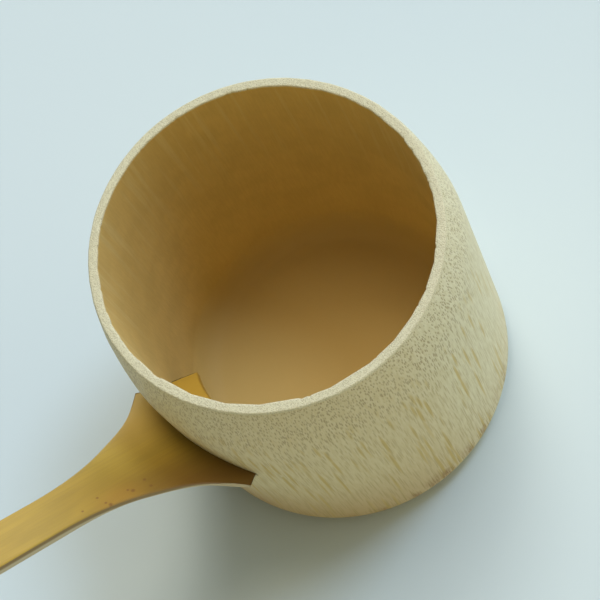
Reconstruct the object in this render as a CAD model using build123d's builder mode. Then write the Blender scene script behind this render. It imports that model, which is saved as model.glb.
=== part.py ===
"""Hishaku water dipper: a bamboo cup with a bamboo handle let into its side.

Millimetres. The origin is the centre of the cup's flat base, +Z is the cup's axis and
the handle rises towards -X. The dipper is symmetric about the XZ plane.
"""
from build123d import *
from math import cos, radians, sin, sqrt
import os

# Cup, one length of culm with its node wall as the floor
cup_height = 54.0
body_radius = 28.0
side_wall = 3.5
brow_height = 14.0
brow_lean = 1.6
rim_wall = 1.4
rim_ease = 0.3
foot_lean = 0.4
foot_round = 3.4
floor_thickness = 4.0
floor_dish = 0.7
floor_round = 4.0

# Handle, a strip split from a large culm, skin side up
handle_angle = 40.6
handle_root = 8.2
handle_reach = 336.0
handle_thickness = 2.2
skin_radius = 47.6
stem_width = 6.6
tail_width = 7.6
tail_cut = 2.6

# Low ring on the skin, where the handle's own culm had a node
node_inset = 140.0
node_length = 5.0
node_rise = 0.35

# Head of the handle, with lengths out from its shoulder at the cup's wall
tongue_length = 3.65
tongue_width = 19.5
shoulder_width = 22.8
horn_length = 1.9
horn_width = 24.8
flare_length = 7.7
flare_width = 17.2
flare_angle = 36.0
throat_length = 16.4
throat_width = 10.9
throat_bevel = 0.7
bevel_depth = 1.2
neck_length = 33.4

# Peg that locks the head inside the cup
peg_side = 2.0
peg_rise = 1.4
peg_ease = 0.3

# Clearance of the joint, and the overrun of cuts
joint_gap = 0.1
overrun = 5.0

# The handle's own directions and planes
lean = radians(handle_angle)
along = Vector(-cos(lean), 0, sin(lean))
outward = Vector(sin(lean), 0, cos(lean))
skin_plane = Plane(origin=(0, 0, handle_root), x_dir=along, z_dir=outward)
side_plane = Plane(origin=(0, 0, handle_root), x_dir=along, z_dir=along.cross(outward))
skin_axis = Axis(skin_plane.from_local_coords((0, 0, -skin_radius)), along)

# Heights and radii of the cup
brow_start = cup_height - brow_height
floor_edge = floor_thickness + floor_dish
rim_radius = body_radius - brow_lean
mouth_radius = rim_radius - rim_wall
well_radius = body_radius - side_wall
foot_radius = body_radius - foot_lean

# Places along the handle, from the cup's axis: its shoulder rests against the wall
shoulder_crown = skin_radius - sqrt(skin_radius**2 - (shoulder_width / 2) ** 2)
shoulder_radius = sqrt((body_radius + joint_gap) ** 2 - (shoulder_width / 2) ** 2)
shoulder_start = (shoulder_radius - shoulder_crown * sin(lean)) / cos(lean)
tongue_radius = well_radius - tongue_length
tongue_start = (tongue_radius - overrun) / cos(lean)
slot_end = (body_radius + overrun) / cos(lean)
node_start = handle_reach - node_inset - node_length / 2
node_end = node_start + node_length
peg_inset = joint_gap + handle_thickness * sin(lean)
peg_start = (well_radius - peg_inset) / cos(lean) - peg_side / 2


def head_side(gap):
    """Points of one tapered side of the head, from inside the cup to its shoulder."""
    return [
        (tongue_start, tongue_width / 2 + gap),
        (shoulder_start, shoulder_width / 2 + gap),
    ]


def handle_plan(inset):
    """The handle's outline seen square to its skin, with the flare's middle drawn in by inset."""
    horn = (shoulder_start + horn_length, horn_width / 2)
    with BuildSketch() as plan:
        with BuildLine():
            Polyline((tongue_start, 0), *head_side(0), horn)
            flare = Spline(
                horn,
                (shoulder_start + flare_length, flare_width / 2 - inset),
                (shoulder_start + throat_length, throat_width / 2 - inset),
                (shoulder_start + neck_length, stem_width / 2),
                tangents=[(cos(radians(flare_angle)), -sin(radians(flare_angle))), (1, 0)],
            )
            Polyline(flare @ 1, (handle_reach, tail_width / 2), (handle_reach, 0))
            mirror(about=Plane.XZ)
        make_face()
    return plan.sketch


# Slot in the cup's wall: the head's tapered section, crowned on top and flat below
with BuildPart() as slot:
    with BuildSketch(skin_plane):
        with BuildLine():
            Polyline((tongue_start, 0), *head_side(joint_gap), (slot_end, horn_width / 2), (slot_end, 0))
            mirror(about=Plane.XZ)
        make_face()
    extrude(amount=handle_thickness + joint_gap, both=True)
    with BuildSketch(Plane(skin_axis.position, z_dir=along)):
        Circle(skin_radius + joint_gap)
    extrude(amount=slot_end, mode=Mode.INTERSECT)

# Cup
with BuildPart() as cup:
    with BuildSketch(Plane.XZ) as wall:
        with BuildLine():
            Polyline((0, floor_thickness), (0, 0), (foot_radius, 0), (body_radius, brow_start))
            brow = TangentArc((body_radius, brow_start), (rim_radius, cup_height), tangent=(0, 1))
            Polyline(brow @ 1, (mouth_radius, cup_height), (well_radius, floor_edge))
            TangentArc((0, floor_thickness), (well_radius, floor_edge), tangent=(1, 0))
        make_face()
        fillet(wall.vertices().group_by(Axis.Y)[-1], radius=rim_ease)
        fillet(wall.vertices().group_by(Axis.Y)[0].sort_by(Axis.X)[-1], radius=foot_round)
        fillet(wall.vertices().sort_by_distance((well_radius, floor_edge))[0], radius=floor_round)
    revolve(axis=Axis.Z)
    add(slot.part, mode=Mode.SUBTRACT)

# Handle: upright sides near the skin, drawn in under the throat, then turned to the skin's curve
with BuildPart() as handle:
    with BuildSketch(skin_plane.offset(-bevel_depth)):
        add(handle_plan(0))
    extrude(amount=handle_thickness)
    with BuildSketch(skin_plane.offset(-bevel_depth)):
        add(handle_plan(0))
    with BuildSketch(skin_plane.offset(-handle_thickness)):
        add(handle_plan(throat_bevel))
    loft(ruled=True)
    with BuildSketch(side_plane):
        with BuildLine():
            Polyline(
                (node_start, 0),
                (tongue_start, 0),
                (tongue_start, -skin_radius),
                (handle_reach - tail_cut, -skin_radius),
                (handle_reach - tail_cut, -handle_thickness),
                (handle_reach, 0),
                (node_end, 0),
            )
            ThreePointArc((node_end, 0), ((node_start + node_end) / 2, node_rise), (node_start, 0))
        make_face()
    revolve(axis=skin_axis, mode=Mode.INTERSECT)
    Cylinder(tongue_radius, 2 * cup_height, mode=Mode.SUBTRACT)
    with BuildSketch(skin_plane):
        with Locations((peg_start, 0)):
            Rectangle(peg_side + 2 * joint_gap, peg_side + 2 * joint_gap)
    extrude(amount=overrun, both=True, mode=Mode.SUBTRACT)

# Peg
with BuildPart() as peg:
    with BuildSketch(skin_plane.offset(-handle_thickness)):
        with Locations((peg_start, 0)):
            Rectangle(peg_side, peg_side)
    extrude(amount=handle_thickness + peg_rise)
    chamfer(peg.faces().sort_by(Axis.Z)[-1].edges(), length=peg_ease)

cup.part.label = "cup"
handle.part.label = "handle"
peg.part.label = "peg"

os.makedirs("parts", exist_ok=True)
export_step(cup.part, "parts/cup.step")
export_step(handle.part, "parts/handle.step")
export_step(peg.part, "parts/peg.step")
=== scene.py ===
"""Looks of the hishaku water dipper: a planed bamboo cup and a bamboo handle, in millimetres."""

import math
import random

import bmesh
import bpy
from mathutils import Matrix, Vector


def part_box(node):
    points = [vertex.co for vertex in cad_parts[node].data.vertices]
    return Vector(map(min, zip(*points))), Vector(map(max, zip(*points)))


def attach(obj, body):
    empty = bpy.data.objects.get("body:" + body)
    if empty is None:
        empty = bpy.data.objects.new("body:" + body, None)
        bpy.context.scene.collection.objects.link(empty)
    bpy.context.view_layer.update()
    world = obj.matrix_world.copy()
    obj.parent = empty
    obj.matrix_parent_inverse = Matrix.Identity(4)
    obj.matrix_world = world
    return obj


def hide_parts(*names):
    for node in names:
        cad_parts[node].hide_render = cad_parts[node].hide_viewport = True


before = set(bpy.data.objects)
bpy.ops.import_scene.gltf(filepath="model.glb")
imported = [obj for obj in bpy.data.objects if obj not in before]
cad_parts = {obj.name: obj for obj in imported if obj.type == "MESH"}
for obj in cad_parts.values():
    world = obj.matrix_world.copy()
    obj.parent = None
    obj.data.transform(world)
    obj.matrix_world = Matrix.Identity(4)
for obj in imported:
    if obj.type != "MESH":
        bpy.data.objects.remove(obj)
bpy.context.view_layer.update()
MM = 0.001
TO_MM = 1 / MM

# Cup: its height and radius are those of its CAD node, and the floor's tilt at its round is in degrees
cup_low, cup_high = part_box("cup")
CUP_HEIGHT = cup_high.z * TO_MM
BODY_RADIUS = (cup_high.y - cup_low.y) / 2 * TO_MM
BROW_HEIGHT = 14.0
BROW_LEAN = 1.6
RIM_WALL = 1.4
RIM_EASE = 0.25
SIDE_WALL = 3.5
FOOT_LEAN = 0.6
FOOT_ROUND = 4.6
FLOOR_THICKNESS = 4.0
FLOOR_DISH = 0.7
FLOOR_ROUND = 4.6
FLOOR_TILT = 4.0

# Heights and radii of the cup
BROW_START = CUP_HEIGHT - BROW_HEIGHT
RIM_RADIUS = BODY_RADIUS - BROW_LEAN
MOUTH_RADIUS = RIM_RADIUS - RIM_WALL
WELL_RADIUS = BODY_RADIUS - SIDE_WALL
FOOT_RADIUS = BODY_RADIUS - FOOT_LEAN

# Points in each ring of the cup, and the angle in degrees past which an edge of it stays sharp
SEGMENTS = 720
CUP_SHARP = 50

# The culm isn't quite round: its mouth swells and shrinks twice in a turn
OVAL = 0.38
OVAL_TURN = math.radians(-74.7)
OVAL_FADE = 7.0

# Knife facets along the rim's two edges and nicks in the inner one, sizes from the least to the most
INNER_FACET = (3.6, 6.8)
OUTER_FACET = (1.6, 3.8)
FACET_JITTER = 0.035
FACET_FADE = 2.5
NICKS = 34
NICK_WIDTH = (0.15, 0.45)
NICK_DEPTH = (0.04, 0.13)

# One stretch of the rim is cut more smoothly: its direction, its reach and the share of the facets lost
CALM_TURN = math.radians(68)
CALM_SPREAD = math.radians(42)
CALM_SHARE = 0.7

# Handle: the sizes of its CAD node, with eased edges and ends
LEAN = math.radians(40.6)
HANDLE_ROOT = 8.2
HANDLE_REACH = 336.0
HANDLE_THICKNESS = 2.2
HANDLE_EASE = 0.25
END_EASE = 0.15
SKIN_RADIUS = 47.6
TAIL_WIDTH = 7.6
TAIL_CUT = 2.6
TONGUE_LENGTH = 3.65
TONGUE_WIDTH = 19.5
TONGUE_OVERRUN = 5.0
SHOULDER_WIDTH = 22.8
NODE_INSET = 140.0
NODE_LENGTH = 5.0
NODE_RISE = 0.35
THROAT_BEVEL = 0.7
BEVEL_DEPTH = 1.2
JOINT_GAP = 0.1

# Places along the handle, whose shoulder rests against the cup's wall
TONGUE_RADIUS = WELL_RADIUS - TONGUE_LENGTH
TONGUE_START = (TONGUE_RADIUS - TONGUE_OVERRUN) / math.cos(LEAN)
SHOULDER_CROWN = SKIN_RADIUS - math.sqrt(SKIN_RADIUS**2 - (SHOULDER_WIDTH / 2) ** 2)
SHOULDER_PLACE = math.sqrt((BODY_RADIUS + JOINT_GAP) ** 2 - (SHOULDER_WIDTH / 2) ** 2)
SHOULDER = (SHOULDER_PLACE - SHOULDER_CROWN * math.sin(LEAN)) / math.cos(LEAN)
NODE_PLACE = HANDLE_REACH - NODE_INSET
NODE_START = NODE_PLACE - NODE_LENGTH / 2
NODE_END = NODE_PLACE + NODE_LENGTH / 2

# The flare from the horns to the stem: place along the handle, half width, and how fast that changes
HORN = (SHOULDER + 1.9, 12.4, -0.727)
FLARE = (SHOULDER + 7.7, 8.6, -0.54)
THROAT = (SHOULDER + 16.4, 5.45, -0.30)
NECK = (SHOULDER + 33.4, 3.3, 0.0)

# The handle's own directions: a place s along it, y across it and n up from its skin
ALONG = Vector((-math.cos(LEAN), 0, math.sin(LEAN)))
OUTWARD = Vector((math.sin(LEAN), 0, math.cos(LEAN)))
ROOT = Vector((0, 0, HANDLE_ROOT))

# Steps across half of the handle's skin and round its eased edges, and rounds that settle a ring
SKIN_STEPS = 12
EASE_STEPS = 3
SETTLING_ROUNDS = 4

# The angle in degrees past which an edge of the handle stays sharp
HANDLE_SHARP = 32

# Rings that turn from the tip's curve to straight across, and how far past the tip's middle they end
TIP_RINGS = 8
TIP_BLEND = 1.5

# Stretches of the handle: start, end and the spacing of the rings
AFTER_TIP = TONGUE_RADIUS / math.cos(LEAN) + TIP_BLEND
STRETCHES = (
    (AFTER_TIP, SHOULDER, 0.7),
    (SHOULDER, HORN[0], 0.4),
    (HORN[0], NECK[0], 0.6),
    (NECK[0], NODE_START, 3.0),
    (NODE_START, NODE_END, 0.25),
    (NODE_END, HANDLE_REACH - 2 * TAIL_CUT, 3.0),
)

# How far the slot's cutter reaches inward and outward from the shoulder
SLOT_INWARD = 9.0
SLOT_OUTWARD = 6.0


def smooth_step(low, high, value):
    """0 below low, 1 above high, and a smooth rise between."""
    t = min(max((value - low) / (high - low), 0.0), 1.0)
    return t * t * (3 - 2 * t)


def arc(centre, radius, start, end, count):
    """Points of a circle's arc in equal steps, with both ends, angles in degrees."""
    points = []
    for i in range(count + 1):
        turn = math.radians(start + (end - start) * i / count)
        points.append((centre[0] + radius * math.cos(turn), centre[1] + radius * math.sin(turn)))
    return points


def line(start, end, count):
    """Points along a line in equal steps, without its two ends."""
    points = []
    for i in range(1, count):
        t = i / count
        points.append((start[0] + (end[0] - start[0]) * t, start[1] + (end[1] - start[1]) * t))
    return points


def steps(start, end, spacing):
    """Places from start up to end, evenly spaced, without the end."""
    count = max(1, round((end - start) / spacing))
    return [start + (end - start) * i / count for i in range(count)]


def new_object(name, shape):
    """An object in metres from a finished bmesh in millimetres, linked to the scene."""
    bmesh.ops.scale(shape, vec=(MM, MM, MM), verts=shape.verts)
    shape.normal_update()
    mesh = bpy.data.meshes.new(name)
    shape.to_mesh(mesh)
    shape.free()
    piece = bpy.data.objects.new(name, mesh)
    bpy.context.scene.collection.objects.link(piece)
    return piece


def mark_sharp(piece, angle):
    """Marks the edges where two faces meet at more than an angle in degrees."""
    shape = bmesh.new()
    shape.from_mesh(piece.data)
    for edge in shape.edges:
        if len(edge.link_faces) == 2:
            edge.smooth = edge.calc_face_angle() < math.radians(angle)
    for face in shape.faces:
        face.smooth = True
    shape.to_mesh(piece.data)
    shape.free()


def cup_profile():
    """Zone, radius and height of the cup's wall, from the centre of its base round to its floor's."""
    brow_radius = (BROW_HEIGHT**2 + BROW_LEAN**2) / (2 * BROW_LEAN)
    brow_turn = math.degrees(math.asin(BROW_HEIGHT / brow_radius))
    rim_height = CUP_HEIGHT - RIM_EASE
    round_height = FLOOR_THICKNESS + FLOOR_DISH + FLOOR_ROUND
    # The last number of each arc and line is how many steps it has
    foot = arc((FOOT_RADIUS - FOOT_ROUND, FOOT_ROUND), FOOT_ROUND, -90, 0, 10)
    brow = arc((BODY_RADIUS - brow_radius, BROW_START), brow_radius, 0, brow_turn, 30)
    rim_outer = arc((RIM_RADIUS - RIM_EASE, rim_height), RIM_EASE, brow_turn, 90, 5)
    rim_inner = arc((MOUTH_RADIUS + RIM_EASE, rim_height), RIM_EASE, 90, 180, 5)
    well_round = arc((WELL_RADIUS - FLOOR_ROUND, round_height), FLOOR_ROUND, 0, FLOOR_TILT - 90, 14)
    outside = line((0, 0), foot[0], 4) + foot + line(foot[-1], brow[0], 14) + brow[:-1]
    rim = rim_outer + line(rim_outer[-1], rim_inner[0], 5) + rim_inner
    # The well has closer steps just below the rim, where the facets fade
    well = line(rim_inner[-1], well_round[0], 16)
    inside = line(rim_inner[-1], well[0], 4) + well + well_round
    inside += line(well_round[-1], (0, FLOOR_THICKNESS), 12)
    profile = [("outside", 0.0, 0.0)]
    for zone, points in (("outside", outside), ("rim", rim), ("inside", inside)):
        profile += [(zone, radius, height) for radius, height in points]
    profile.append(("inside", 0.0, FLOOR_THICKNESS))
    return profile


def apart(turn, other):
    """The angle between two directions about the cup's axis."""
    return abs((turn - other + math.pi) % (2 * math.pi) - math.pi)


def facets(dice, radius, widths):
    """How far each segment's point stands from a circle that a knife cut into flats of uneven width."""
    length = 2 * math.pi * radius
    corners = [0.0]
    while corners[-1] < length - widths[1]:
        corners.append(corners[-1] + dice.uniform(*widths))
    corners.append(length)
    heights = [dice.uniform(-FACET_JITTER, FACET_JITTER) for _ in corners[1:]]
    heights.append(heights[0])
    offsets = []
    side = 0
    for i in range(SEGMENTS):
        place = length * i / SEGMENTS
        while place > corners[side + 1]:
            side += 1
        width = corners[side + 1] - corners[side]
        t = (place - corners[side]) / width
        sag = width**2 / (8 * radius)
        # A flat lies deepest below the circle halfway between its corners
        offset = heights[side] * (1 - t) + heights[side + 1] * t - 4 * sag * t * (1 - t)
        calm = math.exp(-((apart(place / radius, CALM_TURN) / CALM_SPREAD) ** 2))
        offsets.append((1 - CALM_SHARE * calm) * offset)
    return offsets


def nicks(dice, radius):
    """Depth of the small nicks at each segment's point of the inner edge."""
    cuts = []
    for _ in range(NICKS):
        turn = dice.uniform(0, 2 * math.pi)
        cuts.append((turn, dice.uniform(*NICK_WIDTH), dice.uniform(*NICK_DEPTH)))
    depths = []
    for i in range(SEGMENTS):
        turn = 2 * math.pi * i / SEGMENTS
        depth = 0.0
        for cut_turn, width, most in cuts:
            away = apart(turn, cut_turn) * radius
            depth = max(depth, most * math.exp(-((away / width) ** 2)))
        depths.append(depth)
    return depths


def ring_shares(zone, radius, height):
    """Shares of the oval, of the outer facets and of the inner facets that a ring of the cup takes up."""
    if zone == "outside":
        oval = smooth_step(BROW_START, BROW_START + OVAL_FADE, height)
        return oval, smooth_step(BROW_START, CUP_HEIGHT, height), 0.0
    if zone == "rim":
        outer = smooth_step(MOUTH_RADIUS, RIM_RADIUS - RIM_EASE, radius)
        return 1.0, outer, 1 - outer
    return radius / WELL_RADIUS, 0.0, smooth_step(CUP_HEIGHT - FACET_FADE, CUP_HEIGHT, height)


def build_cup():
    """The cup as rings of points turned about its axis, a little out of round, with a knife-cut rim."""
    dice = random.Random(7)
    inner_facets = facets(dice, MOUTH_RADIUS, INNER_FACET)
    outer_facets = facets(dice, RIM_RADIUS, OUTER_FACET)
    notches = nicks(dice, MOUTH_RADIUS)
    shape = bmesh.new()
    rings = []
    zones = []
    for zone, radius, height in cup_profile():
        zones.append(zone)
        if radius == 0:
            rings.append([shape.verts.new((0, 0, height))] * SEGMENTS)
            continue
        oval, outer, inner = ring_shares(zone, radius, height)
        edge = inner**4
        ring = []
        for i in range(SEGMENTS):
            turn = 2 * math.pi * i / SEGMENTS
            reach = radius + oval * OVAL * math.cos(2 * (turn - OVAL_TURN))
            reach += outer * outer_facets[i] + inner * inner_facets[i] + edge * notches[i]
            reach = min(reach, BODY_RADIUS)
            level = height - edge * notches[i]
            ring.append(shape.verts.new((reach * math.cos(turn), reach * math.sin(turn), level)))
        rings.append(ring)
    for low, high, zone in zip(rings, rings[1:], zones[1:]):
        for i in range(SEGMENTS):
            j = (i + 1) % SEGMENTS
            # A ring on the axis is one point, whose repeats are left out of the face
            face = shape.faces.new(list(dict.fromkeys([low[i], low[j], high[j], high[i]])))
            face.material_index = 1 if zone == "inside" else 0
    return new_object("cup_body", shape)


def on_handle(s, y, n):
    """A point from its place along the handle, across it and up from its skin."""
    point = ROOT + ALONG * s + OUTWARD * n
    return (point.x, y, point.z)


def crown(y):
    """Height of the handle's skin at a distance from its middle line."""
    return math.sqrt(SKIN_RADIUS**2 - y**2) - SKIN_RADIUS


def flare_width(start, end, s):
    """Half width between two points of the flare, on a curve that keeps both widths and their slopes."""
    length = end[0] - start[0]
    t = (s - start[0]) / length
    between = (1 + 2 * t) * (1 - t) ** 2 * start[1] + t**2 * (3 - 2 * t) * end[1]
    return between + length * (t * (1 - t) ** 2 * start[2] - t**2 * (1 - t) * end[2])


def half_width(s):
    """Half of the handle's width at a place along it."""
    if s < SHOULDER:
        t = (s - TONGUE_START) / (SHOULDER - TONGUE_START)
        return (TONGUE_WIDTH + (SHOULDER_WIDTH - TONGUE_WIDTH) * t) / 2
    if s < HORN[0]:
        t = (s - SHOULDER) / (HORN[0] - SHOULDER)
        return SHOULDER_WIDTH / 2 + (HORN[1] - SHOULDER_WIDTH / 2) * t
    for start, end in ((HORN, FLARE), (FLARE, THROAT), (THROAT, NECK)):
        if s < end[0]:
            return flare_width(start, end, s)
    t = (s - NECK[0]) / (HANDLE_REACH - NECK[0])
    return NECK[1] + (TAIL_WIDTH / 2 - NECK[1]) * t


def section_half(width, inset, rise):
    """Right half of the handle's section: distance from the middle, height, and whether it is skin."""
    knee = crown(width) + rise
    foot = width - inset
    points = []
    for i in range(SKIN_STEPS):
        y = (width - HANDLE_EASE) * i / SKIN_STEPS
        points.append((y, crown(y) + rise, True))
    for y, n in arc((width - HANDLE_EASE, knee - HANDLE_EASE), HANDLE_EASE, 90, 0, EASE_STEPS):
        points.append((y, n, True))
    points.append((width, -BEVEL_DEPTH, False))
    under = (foot - HANDLE_EASE, HANDLE_EASE - HANDLE_THICKNESS)
    for y, n in arc(under, HANDLE_EASE, 0, -90, EASE_STEPS):
        points.append((y, n, False))
    for i in range(SKIN_STEPS - 1, -1, -1):
        points.append(((foot - HANDLE_EASE) * i / SKIN_STEPS, -HANDLE_THICKNESS, False))
    return points


# Whether each point of the half section is skin, which is the same all along the handle
SKIN_HALF = [point[2] for point in section_half(TAIL_WIDTH, 0, 0)]


def handle_ring(shape, place, shrink):
    """A ring of points round the handle; place gives where along it each point lies."""
    count = len(SKIN_HALF)
    right = []
    left = []
    for k in range(count):
        s = place(0, 0)
        # The section depends on the place and the place on the section, so the two settle in rounds
        for _ in range(SETTLING_ROUNDS):
            width = half_width(s) - shrink
            flare = smooth_step(HORN[0], FLARE[0], s) * (1 - smooth_step(THROAT[0], NECK[0], s))
            from_node = (s - NODE_PLACE) / (NODE_LENGTH / 2)
            rise = NODE_RISE * max(0.0, 1 - from_node**2)
            y, n, _ = section_half(width, THROAT_BEVEL * flare, rise)[k]
            n = min(max(n, shrink - HANDLE_THICKNESS), crown(y) + rise - shrink)
            s = place(y, n)
        right.append(shape.verts.new(on_handle(s, y, n)))
        if 0 < k < count - 1:
            left.append(shape.verts.new(on_handle(s, -y, n)))
    return right + left[::-1]


def tip_place(y, n):
    """Where the tongue's end lies along the handle: on an upright cylinder that follows the wall."""
    return (math.sqrt(TONGUE_RADIUS**2 - y**2) + n * math.sin(LEAN)) / math.cos(LEAN)


def tail_place(y, n):
    """Where along the handle its oblique tail cut lies."""
    return HANDLE_REACH + TAIL_CUT * n / HANDLE_THICKNESS


def ring_faces(shape, near, far):
    """Faces that join two rings with as many points."""
    faces = []
    for k in range(len(near)):
        m = (k + 1) % len(near)
        faces.append(shape.faces.new((near[k], far[k], far[m], near[m])))
    return faces


def cap(shape, ring):
    """Closes an end of the handle with faces across its thickness."""
    count = len(SKIN_HALF)
    right = ring[:count]
    left = [ring[0]] + ring[count:][::-1] + [ring[count - 1]]
    for side in (right, left):
        for i in range(SKIN_STEPS):
            shape.faces.new((side[i], side[i + 1], side[-2 - i], side[-1 - i]))
        shape.faces.new(side[SKIN_STEPS:-SKIN_STEPS])


def build_handle():
    """The handle as rings round its crowned section, from the tongue in the cup to the tail."""
    shape = bmesh.new()
    rings = [handle_ring(shape, tip_place, END_EASE)]
    for i in range(TIP_RINGS):
        t = i / TIP_RINGS
        shift = END_EASE * (1 - t) + AFTER_TIP * t
        rings.append(handle_ring(shape, lambda y, n: tip_place(y, n) * (1 - t) + shift, 0))
    for start, end, spacing in STRETCHES:
        for s in steps(start, end, spacing):
            rings.append(handle_ring(shape, lambda y, n: s, 0))
    rings.append(handle_ring(shape, lambda y, n: tail_place(y, n) - END_EASE, 0))
    rings.append(handle_ring(shape, tail_place, END_EASE))
    skin = SKIN_HALF + SKIN_HALF[-2:0:-1]
    for near, far in zip(rings, rings[1:]):
        for k, face in enumerate(ring_faces(shape, near, far)):
            face.material_index = 0 if skin[k] and skin[(k + 1) % len(skin)] else 1
    cap(shape, rings[0])
    cap(shape, rings[-1])
    bmesh.ops.recalc_face_normals(shape, faces=shape.faces)
    piece = new_object("handle_strip", shape)
    mark_sharp(piece, HANDLE_SHARP)
    return piece


def cut_slot(cup):
    """Cuts the slot for the handle's head through the cup's wall."""
    shape = bmesh.new()
    rings = []
    for s in (SHOULDER - SLOT_INWARD, SHOULDER, SHOULDER + SLOT_OUTWARD):
        width = half_width(min(s, SHOULDER)) + JOINT_GAP
        ring = []
        for i in range(2 * SKIN_STEPS + 1):
            y = width * (i / SKIN_STEPS - 1)
            ring.append(shape.verts.new(on_handle(s, y, crown(y) + JOINT_GAP)))
        for y in (width, -width):
            ring.append(shape.verts.new(on_handle(s, y, -HANDLE_THICKNESS - JOINT_GAP)))
        rings.append(ring)
    for near, far in zip(rings, rings[1:]):
        ring_faces(shape, near, far)
    shape.faces.new(rings[0])
    shape.faces.new(rings[-1][::-1])
    bmesh.ops.recalc_face_normals(shape, faces=shape.faces)
    cutter = new_object("slot_cutter", shape)
    cut = cup.modifiers.new("slot", "BOOLEAN")
    cut.operation = "DIFFERENCE"
    cut.solver = "EXACT"
    cut.object = cutter
    bpy.context.view_layer.update()
    shaped = cup.evaluated_get(bpy.context.evaluated_depsgraph_get())
    cup.data = bpy.data.meshes.new_from_object(shaped)
    cup.modifiers.clear()
    bpy.data.objects.remove(cutter)
    mark_sharp(cup, CUP_SHARP)


class Nodes:
    """A shader whose nodes are added in order; a socket given as an input is linked."""

    def __init__(self, tree):
        self.tree = tree

    def node(self, kind, inputs=(), **settings):
        """A new node with its settings, and with its inputs by name or number."""
        node = self.tree.nodes.new("ShaderNode" + kind)
        for key, value in settings.items():
            setattr(node, key, value)
        for key, value in dict(inputs).items():
            self.put(node.inputs[key], value)
        return node

    def put(self, socket, value):
        """Links an input to another node's output, or sets it to a plain value."""
        if isinstance(value, bpy.types.NodeSocket):
            self.tree.links.new(value, socket)
        else:
            socket.default_value = value

    def math(self, operation, *values):
        """The result of an operation on numbers."""
        node = self.node("Math", operation=operation)
        for socket, value in zip(node.inputs, values):
            self.put(socket, value)
        return node.outputs[0]

    def times(self, first, second):
        """The product of two numbers."""
        return self.math("MULTIPLY", first, second)

    def vector(self, operation, *values, **named):
        """The result of an operation on vectors, which is a number for a dot product or a distance."""
        node = self.node("VectorMath", named, operation=operation)
        for socket, value in zip(node.inputs, values):
            self.put(socket, value)
        return node.outputs["Value" if operation in ("DOT_PRODUCT", "DISTANCE") else "Vector"]

    def split(self, vector):
        """The three numbers of a vector."""
        return self.node("SeparateXYZ", {"Vector": vector}).outputs

    def join(self, x, y, z):
        """A vector from three numbers."""
        return self.node("CombineXYZ", {"X": x, "Y": y, "Z": z}).outputs[0]

    def range(self, value, low, high, start=0.0, end=1.0):
        """A smooth change from start to end as the value goes from low to high."""
        inputs = {"Value": value, "From Min": low, "From Max": high, "To Min": start, "To Max": end}
        return self.node("MapRange", inputs, interpolation_type="SMOOTHSTEP").outputs["Result"]

    def noise(self, vector, scale, detail=2.0):
        """A random cloud from 0 to 1; the scale is how many of its lumps fit in a millimetre."""
        return self.node("TexNoise", {"Vector": vector, "Scale": scale, "Detail": detail}).outputs["Fac"]

    def cells(self, vector, spacing, scatter=1.0):
        """Distance from the nearest of many scattered points, and a random number for each point."""
        inputs = {"Vector": vector, "Scale": 1 / spacing, "Randomness": scatter}
        outputs = self.node("TexVoronoi", inputs).outputs
        return outputs["Distance"], self.split(outputs["Color"])[0]

    def mix(self, share, first, second):
        """A colour between two others: the first where the share is 0, the second where it is 1."""
        node = self.node("Mix", data_type="RGBA", blend_type="MIX")
        self.put(node.inputs["Factor"], share)
        for name, value in (("A", first), ("B", second)):
            socket = [s for s in node.inputs if s.name == name and s.type == "RGBA"][0]
            self.put(socket, value)
        return [s for s in node.outputs if s.type == "RGBA"][0]


class Finish(Nodes):
    """A material, with its place on the object in millimetres."""

    def __init__(self, name, roughness):
        self.material = bpy.data.materials.new(name)
        self.material.use_nodes = True
        super().__init__(self.material.node_tree)
        self.surface = self.tree.nodes["Principled BSDF"]
        self.surface.inputs["Roughness"].default_value = roughness
        place = self.node("TexCoord").outputs["Object"]
        self.place = self.vector("SCALE", place, Scale=TO_MM)

    def paint(self, base):
        """Gives the surface its colour."""
        self.put(self.surface.inputs["Base Color"], base)

    def bump(self, height, distance):
        """Raises the surface by a height from 0 to 1, times a distance in millimetres."""
        node = self.node("Bump", {"Height": height, "Distance": distance * MM})
        self.tree.links.new(node.outputs[0], self.surface.inputs["Normal"])


def colour(red, green, blue):
    """An opaque colour."""
    return (red, green, blue, 1.0)


# How fast the cup's surface cuts across the fibres at the rim and low on the wall, and the fade between
RIM_SLOPE = 0.39
WALL_SLOPE = 0.035
SLOPE_FADE = 8.0

# Spacing of the fibre bundles, of the golden streaks, of the speckle on the rim's cut and of the stains
BUNDLE_SPACING = 0.27
GOLDEN_SPACING = 0.75
SPECKLE_SPACING = 0.20
STAIN_SPACING = 3.6

# Depths below the rim between which the colour of its cut fades out, and the way to the side given
# painted shade
CUT_FADE = (0.45, 0.25)
SHADED_SIDE = (-0.57, -0.82, 0.0)

# Larger stains at the cup's base: azimuth, height and radius
BASE_STAINS = (
    (-62, 4.5, 1.3), (-82, 4.8, 1.7), (-90, 4.4, 1.5),
    (-101, 4.6, 1.9), (-114, 4.2, 1.6), (-125, 4.0, 1.3),
)

# How wide each stain is as a share of its height
STAIN_WIDTH_SHARE = 0.6


def base_stains(look, x, y, z):
    """How stained the cup is just above its base, where the culm's node begins."""
    from_stain, pick = look.cells(look.join(x, y, look.times(z, 0.4)), STAIN_SPACING)
    stain = look.times(look.range(from_stain, 0.60, 0.15), look.range(pick, 0.35, 0.6))
    stain = look.times(stain, look.range(z, 9.5, 4.0))
    here = look.join(x, y, look.times(z, STAIN_WIDTH_SHARE))
    for azimuth, height, radius in BASE_STAINS:
        turn = math.radians(azimuth)
        middle = (BODY_RADIUS * math.cos(turn), BODY_RADIUS * math.sin(turn), STAIN_WIDTH_SHARE * height)
        away = look.vector("DISTANCE", here, middle)
        stain = look.math("MAXIMUM", stain, look.range(away, radius, radius * 0.3))
    return stain


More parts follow.
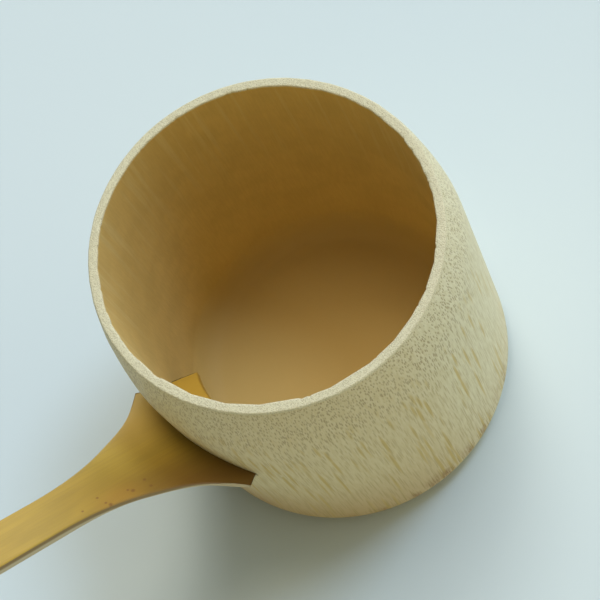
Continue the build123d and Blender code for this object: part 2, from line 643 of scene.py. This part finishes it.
def cup_outside():
    """Shaved bamboo: its fibre bundles show as dots at the rim, dashes on the brow and streaks below."""
    look = Finish("cup_outside", 0.62)
    x, y, z = look.split(look.place)
    below = look.math("SUBTRACT", CUP_HEIGHT, z)
    at_cut = look.range(below, *CUT_FADE)
    # The streaks are most marked on the side turned from the lamps, which is also given painted shade
    towards_shade = look.vector("DOT_PRODUCT", look.place, SHADED_SIDE)
    marked = look.range(towards_shade, 22.0, 4.0, 1.0, 0.5)
    # How far the surface has cut across the fibres
    tapered = look.math("EXPONENT", look.times(below, -1 / SLOPE_FADE))
    steep = (WALL_SLOPE - RIM_SLOPE) * SLOPE_FADE
    across = look.math("MULTIPLY_ADD", tapered, steep, look.times(below, WALL_SLOPE))
    # Fibre bundles: patchy, strongest near the rim and the base, and fainter away from the side given
    # painted shade
    bundle = look.range(look.cells(look.join(x, y, across), BUNDLE_SPACING, 0.9)[0], 0.50, 0.25)
    patchy = look.noise(look.join(x, y, look.times(z, 0.25)), 0.35)
    strength = look.math("MAXIMUM", look.range(below, 6.0, 24.0, 1.0, 0.55), look.range(z, 14.0, 4.0))
    strength = look.times(strength, look.range(patchy, 0.35, 0.65, 0.75, 1.0))
    strength = look.times(strength, look.math("MAXIMUM", marked, look.range(below, 16.0, 6.0)))
    bundle = look.times(bundle, strength)
    # Fine fibre between the bundles, and soft golden streaks among the others lower down
    fine = look.noise(look.join(x, y, look.times(z, 0.12)), 3.0, 3.0)
    from_gold, pick = look.cells(look.join(x, y, look.times(across, 1.1)), GOLDEN_SPACING)
    golden = look.times(look.range(from_gold, 0.52, 0.18), look.range(pick, 0.38, 0.62))
    golden = look.times(golden, look.range(below, 4.0, 18.0))
    golden = look.times(golden, marked)
    base = look.mix(look.range(fine, 0.3, 0.7), colour(0.725, 0.665, 0.425), colour(0.645, 0.575, 0.33))
    # The base is browner, and painted shade darkens it more low down, most of all under the handle
    browning_and_painted_shade = look.times(look.range(z, 26.0, 3.0), look.range(x, 2.0, -20.0, 0.15, 0.85))
    base = look.mix(browning_and_painted_shade, base, colour(0.51, 0.355, 0.17))
    # Painted shade: the side turned from the lamps is painted darker and yellower
    base = look.mix(look.range(towards_shade, 19.0, 27.0, 0.0, 0.34), base, colour(0.62, 0.47, 0.20))
    # Streaks, and bundles that are paler brown lower down
    base = look.mix(look.times(golden, 0.9), base, colour(0.56, 0.415, 0.12))
    dash = look.mix(look.range(below, 6.0, 22.0), colour(0.36, 0.27, 0.12), colour(0.41, 0.30, 0.10))
    base = look.mix(look.times(bundle, 0.74), base, dash)
    # The rim is cut across the fibres, which leaves it finely speckled
    speckle = look.range(look.cells(look.place, SPECKLE_SPACING)[0], 0.25, 0.60)
    cut = look.mix(speckle, colour(0.55, 0.485, 0.29), colour(0.66, 0.60, 0.37))
    base = look.mix(at_cut, base, cut)
    stain = look.times(base_stains(look, x, y, z), look.range(fine, 0.35, 0.6, 0.35, 1.0))
    base = look.mix(look.times(stain, 0.9), base, colour(0.31, 0.165, 0.04))
    look.paint(base)
    height = look.math("MULTIPLY_ADD", bundle, -1.0, look.times(fine, 0.5))
    look.bump(look.math("ADD", height, look.times(speckle, at_cut)), 0.03)
    return look.material


def cup_inside():
    """The culm's inner wall: smooth tan skin with faint upright streaks, painted shade high up, painted
    light low down, and a pale cut edge that is painted brighter as a highlight.
    """
    look = Finish("cup_inside", 0.7)
    x, y, z = look.split(look.place)
    mottle = look.range(look.noise(look.place, 0.18, 3.0), 0.35, 0.65)
    base = look.mix(mottle, colour(0.665, 0.485, 0.155), colour(0.72, 0.525, 0.17))
    # Pale streaks high on the wall, where painted shade also makes it a little browner
    upper = look.range(z, 26.0, 50.0)
    streak = look.noise(look.join(x, y, look.times(z, 0.03)), 0.9)
    pale = look.times(look.range(streak, 0.50, 0.66), look.times(upper, 0.75))
    base = look.mix(pale, base, colour(0.73, 0.58, 0.23))
    # Painted shade: the upper wall is a little darker and browner
    base = look.mix(look.times(upper, 0.16), base, colour(0.36, 0.22, 0.06))
    fine = look.noise(look.join(x, y, look.times(z, 0.08)), 4.0)
    base = look.mix(look.range(fine, 0.35, 0.65, 0.0, 0.12), base, colour(0.40, 0.24, 0.08))
    # Painted light makes the wall paler low down, and the floor is brown
    base = look.mix(look.range(z, 24.0, 11.0, 0.0, 0.25), base, colour(0.82, 0.62, 0.22))
    base = look.mix(look.range(z, 10.0, 5.2, 0.0, 0.88), base, colour(0.545, 0.365, 0.10))
    # The cut edge's own pale colour, painted brighter as a highlight where its rounding catches the light
    below = look.math("SUBTRACT", CUP_HEIGHT, z)
    base = look.mix(look.range(below, *CUT_FADE), base, colour(0.80, 0.64, 0.32))
    look.paint(base)
    look.bump(fine, 0.02)
    return look.material


def handle_place(look):
    """Distance along the handle, across it and up from its skin, in millimetres."""
    from_root = look.vector("SUBTRACT", look.place, ROOT)
    s = look.vector("DOT_PRODUCT", from_root, ALONG)
    n = look.vector("DOT_PRODUCT", from_root, OUTWARD)
    return s, look.split(look.place)[1], n


# Small dark specks in the skin near the throat: place along the handle, across it, and radius
SPECKS = (
    (48.4, -3.0, 0.20), (48.4, -4.4, 0.20), (51.4, -3.6, 0.26), (56.9, -1.7, 0.18),
    (56.1, -3.7, 0.24), (52.0, -3.1, 0.16), (60.5, -2.4, 0.16), (56.5, -3.1, 0.16),
)

# How wide each speck is as a share of its length
SPECK_WIDTH_SHARE = 0.7


def skin_specks(look, s, y):
    """How dark the handle's skin is with specks."""
    dark = 0.0
    here = look.join(look.times(s, SPECK_WIDTH_SHARE), y, 0.0)
    for speck_s, speck_y, radius in SPECKS:
        away = look.vector("DISTANCE", here, (speck_s * SPECK_WIDTH_SHARE, speck_y, 0.0))
        dark = look.math("MAXIMUM", dark, look.range(away, radius * 1.6, radius * 0.3))
    return dark


def handle_skin():
    """Golden bamboo skin with fine lengthwise fibre, a little sheen and a few specks, with the cup's
    shadow and light painted on near the head.
    """
    look = Finish("handle_skin", 0.42)
    s, y, n = handle_place(look)
    fibre = look.noise(look.join(look.times(s, 0.03), y, n), 2.6, 3.0)
    cloud = look.noise(look.join(look.times(s, 0.12), look.times(y, 0.5), n), 0.6)
    base = look.mix(look.range(cloud, 0.35, 0.65), colour(0.40, 0.255, 0.030), colour(0.46, 0.29, 0.034))
    base = look.mix(look.range(fibre, 0.42, 0.62, 0.0, 0.22), base, colour(0.30, 0.18, 0.032))
    # Painted shadow of the cup darkens the skin towards the -Y horn, and painted light makes it paler
    # towards the other
    askew = look.math("MULTIPLY_ADD", s, -0.3, y)
    painted_cup_shadow = look.times(look.range(s, 70.0, 40.0), look.range(askew, -10.5, -20.5, 0.0, 0.87))
    base = look.mix(painted_cup_shadow, base, colour(0.19, 0.088, 0.015))
    # Painted light: the skin is paler towards the +Y horn near the cup
    tapered = look.times(look.range(s, 54.0, 40.0), look.range(y, -1.5, 8.0, 0.0, 0.9))
    base = look.mix(tapered, base, colour(0.64, 0.405, 0.08))
    # A redder flush on the throat
    flush = look.vector("DISTANCE", look.join(look.times(s, 0.5), y, 0.0), (27.0, -3.6, 0.0))
    base = look.mix(look.range(flush, 3.2, 0.6, 0.0, 0.4), base, colour(0.46, 0.23, 0.035))
    # The skin of the tongue, inside the cup, is lighter
    base = look.mix(look.range(s, 31.0, 29.0), base, colour(0.50, 0.29, 0.035))
    base = look.mix(look.times(skin_specks(look, s, y), 0.75), base, colour(0.20, 0.08, 0.02))
    # A brown line runs across the low ring where the handle's own culm had a node
    from_node = look.math("ABSOLUTE", look.math("SUBTRACT", s, NODE_PLACE))
    base = look.mix(look.range(from_node, 0.5, 0.15, 0.0, 0.6), base, colour(0.28, 0.16, 0.05))
    look.paint(base)
    look.bump(fibre, 0.015)
    return look.material


def handle_flesh():
    """Cut bamboo on the handle's sides and underside: dense brown fibre near the skin, paler inside."""
    look = Finish("handle_flesh", 0.65)
    s, y, n = handle_place(look)
    streak = look.noise(look.join(look.times(s, 0.02), y, look.times(n, 2.0)), 2.2, 3.0)
    base = look.mix(look.range(streak, 0.3, 0.7), colour(0.50, 0.42, 0.25), colour(0.58, 0.50, 0.32))
    base = look.mix(look.range(n, -1.35, -0.9, 0.0, 0.9), base, colour(0.22, 0.135, 0.03))
    base = look.mix(look.range(streak, 0.55, 0.75, 0.0, 0.4), base, colour(0.36, 0.25, 0.09))
    look.paint(base)
    look.bump(streak, 0.03)
    return look.material


def peg_bamboo():
    """Split bamboo, with its fibre along the peg."""
    look = Finish("peg_bamboo", 0.6)
    s, y, n = handle_place(look)
    streak = look.noise(look.join(s, y, look.times(n, 0.08)), 4.0)
    base = look.mix(look.range(streak, 0.35, 0.65), colour(0.58, 0.42, 0.17), colour(0.44, 0.29, 0.10))
    look.paint(base)
    look.bump(streak, 0.03)
    return look.material


# Camera: its place, a point on its axis, its turn about that axis, its lens, film and clip planes
CAMERA_PLACE = Vector((-40.64, -130.48, 312.35)) * MM
CAMERA_AIM = Vector((3.89, 14.59, 0.0)) * MM
CAMERA_ROLL = math.radians(34.888)
LENS_LENGTH = 122.4
FILM_WIDTH = 36.0
CLIP_NEAR = 0.01
CLIP_FAR = 20.0


def make_camera():
    """The camera at the photograph's viewing angle."""
    data = bpy.data.cameras.new("camera")
    data.sensor_width = FILM_WIDTH
    data.lens = LENS_LENGTH
    data.clip_start = CLIP_NEAR
    data.clip_end = CLIP_FAR
    camera = bpy.data.objects.new("camera", data)
    turn = (CAMERA_AIM - CAMERA_PLACE).to_track_quat("-Z", "Y").to_matrix().to_4x4()
    camera.matrix_world = Matrix.Translation(CAMERA_PLACE) @ turn @ Matrix.Rotation(-CAMERA_ROLL, 4, "Z")
    bpy.context.scene.collection.objects.link(camera)
    bpy.context.scene.camera = camera


# The studio's floor: its radius, and the two colours that it drifts between
STUDIO_RADIUS = 3000
STUDIO_PALE = colour(0.62, 0.695, 0.665)
STUDIO_DARK = colour(0.61, 0.685, 0.655)


def make_floor():
    """A plain matt floor of faintly clouded colour."""
    shape = bmesh.new()
    bmesh.ops.create_circle(shape, cap_ends=True, segments=128, radius=STUDIO_RADIUS)
    floor = new_object("floor", shape)
    look = Finish("floor", 0.9)
    cloud = look.noise(look.place, 0.004)
    look.paint(look.mix(look.range(cloud, 0.3, 0.7), STUDIO_PALE, STUDIO_DARK))
    floor.data.materials.append(look.material)


# Soft ceiling lamps: azimuth and elevation, colour and strength
LAMPS = (
    (-10, 57, (0.78, 1.03, 1.46), 0.81),
    (53, 65, (1.0, 0.98, 0.92), 0.64),
    (35, 77, (1.0, 0.92, 0.80), 0.50),
    (195, 70, (1.0, 0.90, 0.70), 0.08),
)
LAMP_ANGLE = math.radians(16)

# Soft glows of the room: azimuth and elevation, how tightly the glow is gathered, and its light
GLOWS = (
    (27, 10, 4.5, (2.15, 2.38, 3.0)),
    (320, 25, 6.0, (1.04, 0.93, 0.66)),
    (214, 7, 16.0, (1.95, 1.48, 0.54)),
)
DIM_LIGHT = (0.044, 0.064, 0.070)
ROOM_COLOUR = colour(0.66, 0.745, 0.745)


def direction(azimuth, elevation):
    """A unit vector from two angles in degrees."""
    turn = math.radians(azimuth)
    rise = math.radians(elevation)
    return Vector((math.cos(rise) * math.cos(turn), math.cos(rise) * math.sin(turn), math.sin(rise)))


def make_lamps():
    """Soft lamps overhead, three on the cup's +X side and a weak one on its -X side."""
    for azimuth, elevation, tint, energy in LAMPS:
        data = bpy.data.lights.new("lamp", "SUN")
        data.angle = LAMP_ANGLE
        data.color = tint
        data.energy = energy
        lamp = bpy.data.objects.new("lamp", data)
        lamp.rotation_euler = direction(azimuth, elevation).to_track_quat("Z", "Y").to_euler()
        bpy.context.scene.collection.objects.link(lamp)


def make_room():
    """A world with soft glows, where the camera and reflections see a plain room."""
    world = bpy.data.worlds.new("world")
    bpy.context.scene.world = world
    world.use_nodes = True
    look = Nodes(world.node_tree)
    view = look.node("TexCoord").outputs["Generated"]
    shed = DIM_LIGHT
    for azimuth, elevation, gathered, tint in GLOWS:
        towards = look.vector("DOT_PRODUCT", view, direction(azimuth, elevation))
        power = look.math("EXPONENT", look.math("MULTIPLY_ADD", towards, gathered, -gathered))
        shed = look.vector("ADD", shed, look.vector("SCALE", tint, Scale=power))
    light = look.node("Background", {"Color": shed, "Strength": 1.0})
    room = look.node("Background", {"Color": ROOM_COLOUR, "Strength": 1.0})
    path = look.node("LightPath").outputs
    seen = look.math("MAXIMUM", path["Is Camera Ray"], path["Is Glossy Ray"])
    seen = look.math("MAXIMUM", seen, path["Is Transmission Ray"])
    both = look.node("MixShader", {0: seen, 1: light.outputs[0], 2: room.outputs[0]})
    world.node_tree.links.new(both.outputs[0], world.node_tree.nodes["World Output"].inputs["Surface"])


bpy.context.scene.view_settings.view_transform = "Standard"
make_camera()
make_floor()
make_lamps()
make_room()

cup = build_cup()
cut_slot(cup)
cup.data.materials.append(cup_outside())
cup.data.materials.append(cup_inside())
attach(cup, "root")
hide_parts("cup")

handle = build_handle()
handle.data.materials.append(handle_skin())
handle.data.materials.append(handle_flesh())
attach(handle, "root")
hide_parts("handle")

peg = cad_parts["peg"]
peg_finish = peg_bamboo()
for slot in peg.material_slots:
    slot.material = peg_finish
